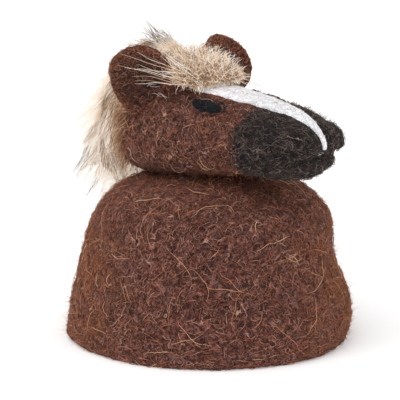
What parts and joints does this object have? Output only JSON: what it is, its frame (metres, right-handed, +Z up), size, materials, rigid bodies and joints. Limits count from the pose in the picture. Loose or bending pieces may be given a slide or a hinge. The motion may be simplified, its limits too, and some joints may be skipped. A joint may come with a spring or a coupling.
{
  "type": "egg cosy",
  "caption": "Hollow felted wool dome that keeps a boiled egg warm, topped by a needle-felted pony's head with cupped ears, a white blaze, a fur forelock and a fur mane.",
  "frame": {"origin": "centre of the cap's open mouth, on the plane of its hem", "axes": "+Z up through the dome, -Y the way the pony looks, +X the pony's left side"},
  "size_m": [0.0808, 0.0904, 0.0846],
  "materials": {
    "wool_brown": "matted brown felting wool with stray orange and tan fibres",
    "wool_dark": "matted charcoal-brown felting wool",
    "wool_white": "smooth white needle-felted wool",
    "wool_black": "black needle-felted wool",
    "fur_cream": "long cream fur with grey-black tips"
  },
  "bodies": {
    "root": {"cap": "wool_brown", "head": "wool_brown", "muzzle": "wool_dark", "blaze": "wool_white", "eye_right": "wool_black", "eye_left": "wool_black", "ear_right": "wool_brown", "ear_left": "wool_brown", "forelock": "fur_cream", "mane": "fur_cream"}
  },
  "joints": []
}
